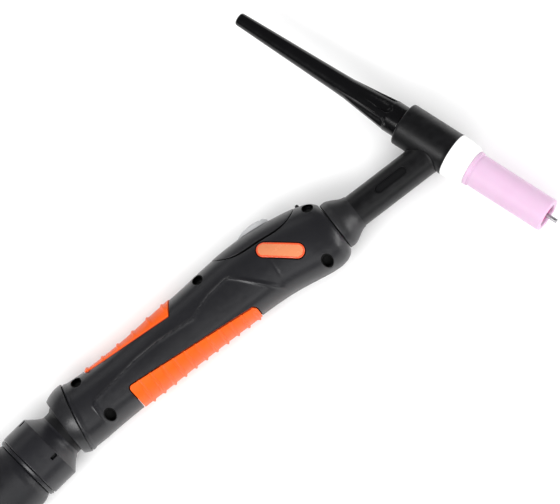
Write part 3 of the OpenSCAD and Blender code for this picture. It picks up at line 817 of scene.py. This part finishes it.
def box_in(piece, low, high, half, hole=None, slot=1):
    """A plain internal plate between two corners of the side view, with an optional slot through it."""
    x0, y0, x1, y1 = *low, *high
    if hole is None:
        ring = [(x0, -half), (x1, -half), (x1, half), (x0, half)]
        rows = np.array([[(x, y, z) for x, z in ring] for y in (y0, y1)], float)
        piece.grid(rows, round_columns=True, slot=slot)
        for row in rows:
            piece.add(row, [[0, 1, 2, 3]], slot)
        return
    cx, a, b = hole[0]
    turn = np.linspace(0, 2 * math.pi, 48, endpoint=False) + math.pi / 48
    outer, inner = [], []
    for t in turn:
        c, s = math.cos(t), math.sin(t)
        reach = 1 / max(abs(c) / ((x1 - x0) / 2), abs(s) / half)
        outer.append(((x0 + x1) / 2 + c * reach, s * reach))
        inner.append((cx + a * bend(c, 0.75), b * bend(s, 0.75)))
    rows = [[(x, y, z) for x, z in ring] for ring, y in ((outer, y0), (outer, y1), (inner, y1), (inner, y0))]
    piece.grid(np.array(rows, float), round_rows=True, round_columns=True, slot=slot)


# ---- trigger and screws ----

def make_button(looks):
    sides = 128
    turn = np.linspace(0, 2 * math.pi, sides, endpoint=False)
    straight = (BUTTON_LEN - BUTTON_W) / 2
    outline = np.stack([np.sign(np.cos(turn)) * straight * np.abs(np.cos(turn)) ** 0.6
                        + BUTTON_W / 2 * np.cos(turn), BUTTON_W / 2 * np.sin(turn)], 1)
    rounding = 1.1
    rows = []
    for share in np.concatenate([np.linspace(0, 0.7, 9), np.linspace(0.74, 1, 12)]):
        x, z = (outline * share).T
        rise = 26 - np.sqrt(26 ** 2 - x ** 2) + 14.5 - np.sqrt(14.5 ** 2 - z ** 2)
        ridge = 0.35 * np.exp(-((x - 6.2) / 0.5) ** 2) * smooth((1 - share) * 6)
        inset = min((1 - share) * BUTTON_W / 2, rounding)
        drop = rounding - math.sqrt(rounding ** 2 - (rounding - inset) ** 2)
        rows.append(np.stack([BUTTON_X + x, BUTTON_TOP - rise - ridge - drop, z], 1))
    for k in (-1, 0):
        foot = rows[k].copy()
        foot[:, 1] = BUTTON_FOOT
        rows.append(foot)
    piece = Piece(HANDLE)
    piece.grid(np.array(rows), round_columns=True)
    piece.make("trigger_pad", "trigger", [looks["button"]], ["trigger_button"])


def make_screws(looks):
    piece = Piece(HANDLE)
    sides = 96
    turn = np.linspace(0, 2 * math.pi, sides, endpoint=False)
    head_r, top = RECESS_R - 0.35, RECESS_Z + 2.0
    for k, (cx, cy) in enumerate(SCREWS):
        start = 0.4 + 0.9 * k
        rows = []
        for r in np.concatenate([[0], np.linspace(0.12, head_r - 0.35, 22)]):
            x, y = r * np.cos(turn - start), r * np.sin(turn - start)
            u, v = np.abs(x), np.abs(y)
            arm = np.minimum(np.maximum(u - CROSS_REACH, v - CROSS_HALF),
                             np.maximum(u - CROSS_HALF, v - CROSS_REACH))
            z = top - 0.45 * (r / head_r) ** 2 - 0.95 * smooth(0.5 - arm / 0.16) * (1 - 0.35 * r / head_r)
            rows.append(np.stack([cx + r * np.cos(turn), cy + r * np.sin(turn), z], 1))
        for r, z in ((head_r - 0.2, top - 0.46), (head_r - 0.06, top - 0.6), (head_r, top - 0.8),
                     (head_r, RECESS_Z + 0.02), (1.3, RECESS_Z + 0.02), (1.3, -7.2), (0.4, -8.0), (0, -8.0)):
            rows.append(np.stack([cx + r * np.cos(turn), cy + r * np.sin(turn), np.full(sides, z)], 1))
        piece.grid(np.array(rows), round_columns=True)
    piece.make("shell_screw_set", "handle", [looks["blackened"]], ["shell_screws"], sharp=30)


def make_spring(looks):
    """The return spring, built at rest; the real one flattens with the trigger's travel."""
    lo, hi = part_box("trigger_spring")
    centre, reach, wire = (lo + hi) / 2, (hi.x - lo.x) / 2 / MM, 0.5
    low, high = float(lo.y) / MM, float(hi.y) / MM
    turns, per_turn, sides = 5, 40, 12
    t = np.linspace(0, turns, turns * per_turn + 1)
    spin = np.linspace(0, 2 * math.pi, sides, endpoint=False)
    rise = smooth(t / turns) * 0.35 + t / turns * 0.65
    a = t * 2 * math.pi
    r = (reach - wire) + wire * np.cos(spin)[None, :]
    x = centre.x / MM + r * np.cos(a)[:, None]
    z = centre.z / MM + r * np.sin(a)[:, None]
    y = low + wire + (high - low - 2 * wire) * rise[:, None] + wire * np.sin(spin)[None, :]
    rows = np.stack([x, np.broadcast_to(y, x.shape), z], -1)
    ends = [np.repeat(rows[k].mean(0)[None, None], sides, 1) for k in (0, -1)]
    piece = Piece(Axes((0, 0, 0), (1, 0)))
    piece.grid(np.concatenate([ends[0], rows, ends[1]]), round_columns=True)
    spring = piece.make("return_spring", "handle", [looks["steel"]], ["trigger_spring"])
    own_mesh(spring)


# ---- neck, head and what it carries ----

NECK_R, HEAD_R = 9.2, 12.0
HEAD_BACK, HEAD_FRONT, INSULATOR_FRONT = -23.5, 7.8, 20.5
NOZZLE_TIP, NOZZLE_R, NOZZLE_BORE = 68.6, 9.2, 6.35
STICK_OUT, ELECTRODE_LEN, ELECTRODE_R = 5.5, 175, 1.2
CAP_END, CAP_R, CAP_TURN = 129.5, 8.85, math.radians(20)
FLUTE_R, FLUTE_AXIS, FLUTE_START = 3.4, 9.85, 34
SLOT_X, SLOT_LEN, SLOT_W, SLOT_DEPTH, SLOT_RIM = 38.0, 20.0, 4.4, 1.9, 0.3


def neck_surface():
    """The neck's tube, whose front end follows the head's round side with a small fillet."""
    cos_a, sin_a = float(HEAD.x[0]), float(-HEAD.x[1])
    rear, front = -13.0, 62.0

    def surf(q, lift):
        turn = q[:, 1] / NECK_R
        y, z = NECK_R * np.cos(turn), NECK_R * np.sin(turn)
        end = HEAD_AHEAD + (-np.sqrt((HEAD_R - 0.35) ** 2 - z ** 2) - y * cos_a) / sin_a
        x = rear + (q[:, 0] - rear) * (end - rear) / (front - rear)
        near = np.clip(1 - (end - x) / 2.4, 0, 1)
        r = NECK_R + 0.55 * near ** 2 - 0.75 * np.clip(1 - (end - x) / 0.75, 0, 1) ** 0.7 + lift
        return np.stack([x, r * np.cos(turn), r * np.sin(turn)], -1)
    return surf


def slot_field(side):
    def field(p):
        slot = stadium_field(p[:, 0] - SLOT_X, p[:, 1], SLOT_LEN, SLOT_W)
        return np.where(p[:, 2] * side > 3, slot, FAR) - SLOT_RIM
    return field


def slot_floor(side):
    def floor(points, normals, ids, out):
        p, n = points[ids], normals[ids]
        level = side * (NECK_R - SLOT_DEPTH)
        rings = rounded_rim(p, n, out, SLOT_RIM)
        last = rings[-1].copy()
        last[:, 2] = level
        rings.append(last)
        base = points.copy()
        base[:, 2] = level
        return rings, base
    return floor


def make_mould(looks):
    piece = Piece(HANDLE)
    us = np.concatenate([np.linspace(-13, 58, 120), np.linspace(58.4, 62, 16)])
    vs = np.linspace(0, 2 * math.pi * NECK_R, 132, endpoint=False)
    patch(piece, us, vs, neck_surface(), 2.4, 0.05, wrap=True,
          pockets=[(slot_field(side), slot_floor(side)) for side in (1, -1)], slots=(0, 1))
    # The slots' walls and floor take the ball's duller finish: painted shade in the slots.
    piece.make("neck_mould", "handle", [looks["mould"], looks["ball"]], [])
    piece = Piece(HEAD)
    lathe(piece, [(HEAD_BACK, 8.0, 0.3), (HEAD_BACK, 9.3, 0.2), (HEAD_BACK + 0.15, HEAD_R, 2.7),
                  (HEAD_FRONT - 1.6, HEAD_R, 1.0), (HEAD_FRONT, HEAD_R + 0.22, 0.15),
                  (HEAD_FRONT, 8.5, 0.1), (-18, 8.5, 0.1), (-18, 8.0, 0.1)], closed=True, sides=144, steps=8)
    piece.make("head_mould", "handle", [looks["mould"]], ["torch_body_mould"])


def make_adapter(looks):
    piece = Piece(HANDLE)
    cone = [(2.4 + 11.2 * t, 9.6 + 4.3 * (1 - smooth(t)) + 0.25 * t * (1 - t), 0)
            for t in np.linspace(0.02, 1, 30)]
    lathe(piece, [(-14, NECK_R + 0.05, 0.1), (-14, 10.4, 0.3), (0.3, 10.4, 0.1), (0.3, 13.75, 0.6), *cone,
                  (13.6, NECK_R + 0.05, 0)], closed=True, sides=128, steps=8)
    piece.make("neck_adapter", "handle", [looks["adapter"]], ["front_adapter"])


def make_nozzle(looks):
    piece = Piece(HEAD)
    lathe(piece, [(HEAD_FRONT + 0.05, 6.5, 0.1), (HEAD_FRONT + 0.05, 12.1, 0.15),
                  (HEAD_FRONT + 5.5, 11.95, 1.0), (INSULATOR_FRONT - 1.2, 11.0, 1.6),
                  (INSULATOR_FRONT, 9.9, 0.9), (INSULATOR_FRONT, 6.5, 0.1)], closed=True, steps=6)
    piece.make("insulator_ring", "handle", [looks["ptfe"]], ["insulator"])
    start, tip = INSULATOR_FRONT + 0.1, NOZZLE_TIP
    piece = Piece(HEAD)
    outside = [(start, NOZZLE_BORE, 0), (start, NOZZLE_R + 0.55, 0.4), (start + 2.1, NOZZLE_R + 0.55, 0.3),
               (start + 2.2, NOZZLE_R - 0.2, 0.15), (start + 2.8, NOZZLE_R - 0.2, 0.2),
               (start + 3.3, NOZZLE_R, 0.3), (tip, NOZZLE_R, 1.3), (tip, NOZZLE_BORE, 1.0),
               (tip - 1.6, NOZZLE_BORE, 0)]
    lathe(piece, outside, steps=6)
    # The bore's inner wall takes the darker magenta: painted shade inside the bore.
    lathe(piece, [(tip - 1.6, NOZZLE_BORE, 0), (tip - 14, NOZZLE_BORE, 0), (start, NOZZLE_BORE, 0)], slot=1)
    piece.make("gas_nozzle", "handle", [looks["ceramic"], looks["bore_painted_shade"]],
               ["ceramic_nozzle"])
    piece = Piece(HEAD)
    tip_x, rear_x = NOZZLE_TIP + STICK_OUT, NOZZLE_TIP + STICK_OUT - ELECTRODE_LEN
    lathe(piece, [(rear_x, 0, 0), (rear_x, ELECTRODE_R, 0.12), (tip_x - 30, ELECTRODE_R, 0),
                  (tip_x - 8, ELECTRODE_R, 0), (tip_x, ELECTRODE_R, 0.18), (tip_x, 0, 0)], sides=48)
    piece.make("electrode_rod", "electrode", [looks["tungsten"]], ["electrode"])


def make_cap(looks):
    """The back cap, with six finger flutes that fade out along its taper."""
    base = -HEAD_BACK + 0.2

    def fluted(s, r, a):
        back = -s
        flute = np.sqrt(np.maximum(FLUTE_R ** 2 - np.clip(FLUTE_START - back, 0, 9) ** 2, 0.0))
        axis = FLUTE_AXIS - (np.maximum(back, FLUTE_START) - FLUTE_START) * 0.031
        off = (a - CAP_TURN + math.pi / 6) % (math.pi / 3) - math.pi / 6
        side = np.abs(axis * np.sin(off))
        reach = axis * np.cos(off) - np.sqrt(np.maximum(flute ** 2 - side ** 2, 0))
        cut = np.where((side < flute) & (back > 30.7) & (back < 64), reach, 99.0)
        soft = 0.25
        blend = np.maximum(soft - np.abs(r - cut), 0) ** 2 / (4 * soft)
        return s, np.where(r > 3, np.minimum(r, cut) - blend, r)

    path = [(-6.9, 3.0, 0.2), (-6.9, 5.1, 0.3), (-19.0, 5.1, 0.1), (-19.0, 5.6, 0.1), (-base, 5.6, 0.1),
            (-base, 8.5, 0.35), (-base - 0.5, CAP_R, 0.3)]
    for place in np.linspace(24.8, 30.9, 8):
        path.append((-place, CAP_R, 0))
    path.append((-31.2, CAP_R, 0.4))
    for place in np.linspace(32, 58, 44):
        path.append((-place, 8.75 - (place - 31.2) * 0.1115, 0))
    for place in np.linspace(59, 67, 8):
        path.append((-place, 5.72 - (place - 59) * 0.04, 0))
    for place in np.linspace(69, CAP_END - 8, 30):
        path.append((-place, 5.40 - (place - 67) * 0.0284, 0))
    path += [(-CAP_END, 3.62, 3.0), (-CAP_END, 0, 0)]
    piece = Piece(HEAD)
    lathe(piece, path, sides=192, steps=10, shape=fluted)
    bore = [(-6.9, 3.0, 0.1), (-20, 2.7, 0.1), (-20, 1.8, 0.1), (-111, 1.8, 0.1), (-111, 0, 0)]
    lathe(piece, bore, sides=192)
    piece.make("back_cap_long", "back_cap", [looks["cap"]], ["back_cap"], sharp=50)


# ---- ball-jointed cable outlet ----

BALL_R, BALL_NECK, COLLAR_R, CREASE, COLLAR_REAR = 16.2, 12.8, 19.35, 21.7, 36.8
LUG_X, LUG_TURN = CREASE + 2.2, math.radians(60.5)
SLEEVE_FRONT, SLEEVE_REAR, SLEEVE_R, INLET_R = 39.4, 70.6, 19.2, 12.5


def make_band(looks):
    sides = 168
    turn = np.linspace(0, 2 * math.pi, sides, endpoint=False)
    columns_of_points = []

    def crown_r(s):
        return 19.6 - 0.028 * max(0, s + 1) ** 2

    for a in turn:
        start = band_edge(REAR_Y - 19 * math.cos(a))
        crown = [(start + 0.3, 17.95, 0.1), (start + 0.35, crown_r(start + 0.35), 0.25)]
        for share in (0.25, 0.45, 0.65, 0.82):
            s = start + (9 - start) * share
            crown.append((s, crown_r(s), 0.6))
        path = crown + [(9.0, 16.8, 0.3), (9.0, 16.3, 0.15), (7.6, 16.3, 0.1), (2.5, 17.2, 0.2),
                        (start + 0.6, 17.2, 0.1)]
        columns_of_points.append(soften(path, True, 5))
    profile = np.array(columns_of_points).transpose(1, 0, 2)
    rows = np.stack([profile[..., 0], profile[..., 1] * np.cos(turn), profile[..., 1] * np.sin(turn)], -1)
    piece = Piece(SOCKET)
    piece.grid(rows, round_rows=True, round_columns=True)
    piece.make("socket_band_ring", "handle", [looks["band"]], ["socket_band"])


def make_ball(looks):
    piece = Piece(OUTLET)
    arc = [(BALL_R * math.sin(t), BALL_R * math.cos(t), 0) for t in np.radians(np.linspace(-10.6, 36.5, 26))]
    path = [(-3.0, 13.2, 0.2)] + arc + [(10.0, BALL_NECK, 0.4), (13.4, BALL_NECK, 0.1), (13.45, 12.2, 0.05),
                                        (32.0, 12.2, 0.2), (32.0, 9.5, 0.3), (2.0, 9.5, 0.5)]
    lathe(piece, path, closed=True, sides=128)
    for k in range(4):
        lug(piece, LUG_TURN + k * HALF_PI)
    # The ball takes the darker, duller finish: painted shade behind the band.
    piece.make("ball_knuckle", "cable_outlet", [looks["ball"]], ["knuckle_ball"])


def lug(piece, turn):
    c, s = math.cos(turn), math.sin(turn)
    rows = []
    for r, inset in ((11.6, 0), (17.1, 0), (17.4, 0.25)):
        ring = [(LUG_X + dx * (1.6 - inset), r * c - dt * (0.75 - inset) * s, r * s + dt * (0.75 - inset) * c)
                for dx, dt in ((-1, -1), (1, -1), (1, 1), (-1, 1))]
        rows.append(ring)
    rows = np.array(rows)
    piece.grid(rows, round_columns=True)
    piece.add(rows[0], [[0, 1, 2, 3]])
    piece.add(rows[-1], [[0, 1, 2, 3]])


def make_collar(looks):
    """The collar's cone and barrel, walled, with four snap windows just behind its crease."""
    profile = soften([(13.4, BALL_NECK, 0), (14.5, BALL_NECK + 0.35, 0.7), (17.2, BALL_NECK + 2.3, 1.2),
                      (CREASE - 0.5, COLLAR_R - 0.55, 0.5), (CREASE, COLLAR_R, 0.35),
                      (COLLAR_REAR - 0.5, COLLAR_R, 0.2), (COLLAR_REAR, COLLAR_R - 0.5, 0)], steps=4)
    length = np.concatenate([[0], np.cumsum(np.linalg.norm(np.diff(profile, axis=0), axis=1))])

    def surf(q, lift):
        s = np.interp(q[:, 0], length, profile[:, 0])
        r = np.interp(q[:, 0], length, profile[:, 1])
        turn = q[:, 1] / COLLAR_R
        return np.stack([s, (r + lift) * np.cos(turn), (r + lift) * np.sin(turn)], -1)

    def keep(p):
        turn = np.arctan2(p[:, 2], p[:, 1]) - LUG_TURN
        off = (turn + HALF_PI / 2) % HALF_PI - HALF_PI / 2
        window = np.maximum(np.abs(p[:, 0] - LUG_X) - 1.9, np.abs(off) * COLLAR_R - 0.95)
        return 0.15 - window

    us = np.unique(np.concatenate([length, np.linspace(0, length[-1], 90)]))
    us = us[np.concatenate([[True], np.diff(us) > 0.02])]
    vs = np.linspace(0, 2 * math.pi * COLLAR_R, 240, endpoint=False)
    piece = Piece(OUTLET)
    patch(piece, us, vs, surf, 2.4, 0.12, keep, wrap=True)
    piece.make("collar_shell", "cable_outlet", [looks["joint"]], ["collar_cone"], sharp=45)


def make_sleeve(looks):
    piece = Piece(OUTLET)
    front, rear = COLLAR_REAR + 0.3, SLEEVE_FRONT - 0.2
    lathe(piece, [(front, 15.6, 0.1), (front, SLEEVE_R - 0.1, 0.3), (rear, SLEEVE_R - 0.7, 0.7),
                  (rear, 15.6, 0.1)], closed=True)
    piece.make("sleeve_spacer", "cable_outlet", [looks["joint"]], ["sleeve_ring"])
    piece = Piece(OUTLET)
    lathe(piece, [(32.4, INLET_R, 0.2), (32.4, 15.3, 0.3), (SLEEVE_FRONT, 15.3, 0.1),
                  (SLEEVE_FRONT, 17.5, 0.3), (SLEEVE_FRONT + 4.2, SLEEVE_R, 1.6),
                  (SLEEVE_REAR, SLEEVE_R, 1.6), (SLEEVE_REAR, INLET_R, 0.8)], closed=True, steps=5)
    piece.make("cable_sleeve", "cable_outlet", [looks["sleeve"]], ["rear_sleeve"])


# ---- everything ----

def dress_cad(looks):
    """Gives each carried-over CAD node its own finish."""
    finishes = {
        "head_core": "brass", "neck_tube": "copper", "tail_fitting": "brass", "collet_body": "copper",
        "collet": "copper", "cap_o_ring": "nitrile", "microswitch_body": "switch",
        "microswitch_plunger": "plunger",
        "switch_terminals": "brass", "module_latch": "module", "seat_ring": "joint"}
    for node, finish in finishes.items():
        mesh = frame["nodes"][node].data
        mesh.materials.clear()
        mesh.materials.append(looks[finish])


def main():
    make_camera()
    make_stage()
    looks = make_looks()
    dress_cad(looks)
    make_shell("shell_right", 1, "right_shell", looks)
    make_shell("shell_left", -1, "left_shell", looks)
    make_grips(looks)
    make_badge(looks)
    make_module(looks)
    make_button(looks)
    make_screws(looks)
    make_spring(looks)
    make_mould(looks)
    make_adapter(looks)
    make_nozzle(looks)
    make_cap(looks)
    make_band(looks)
    make_ball(looks)
    make_collar(looks)
    make_sleeve(looks)


main()
